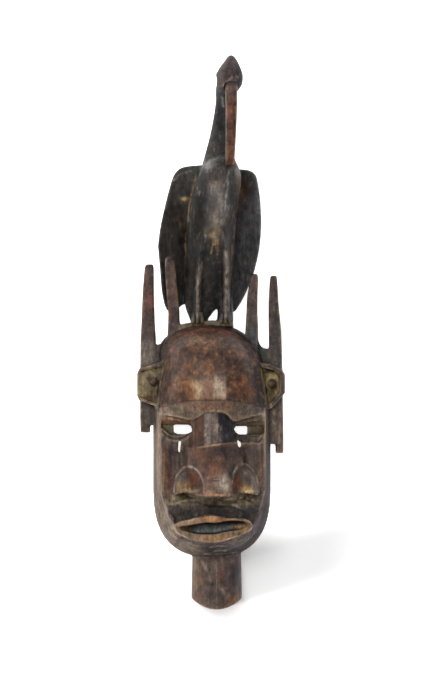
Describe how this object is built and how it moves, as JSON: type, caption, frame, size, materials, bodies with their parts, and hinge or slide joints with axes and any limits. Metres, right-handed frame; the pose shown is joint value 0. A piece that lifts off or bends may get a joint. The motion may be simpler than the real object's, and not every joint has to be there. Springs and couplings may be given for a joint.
{
  "type": "ntomo mask",
  "caption": "Tall carved wooden face mask, hollow behind, with ears, upright horns, a neck stub and a long-billed bird standing on its crown.",
  "frame": {"origin": "middle of the mask's length and width, on the surface that its back lies on", "axes": "+Y from the neck stub to the bird's head, +X to the right of the mask as one looks at its face, +Z out of the face"},
  "size_m": [0.1814, 0.6798, 0.1119],
  "materials": {
    "stained_wood": "dark stained hardwood, rubbed to a low sheen"
  },
  "bodies": {
    "root": {"mask": "stained_wood"}
  },
  "joints": []
}
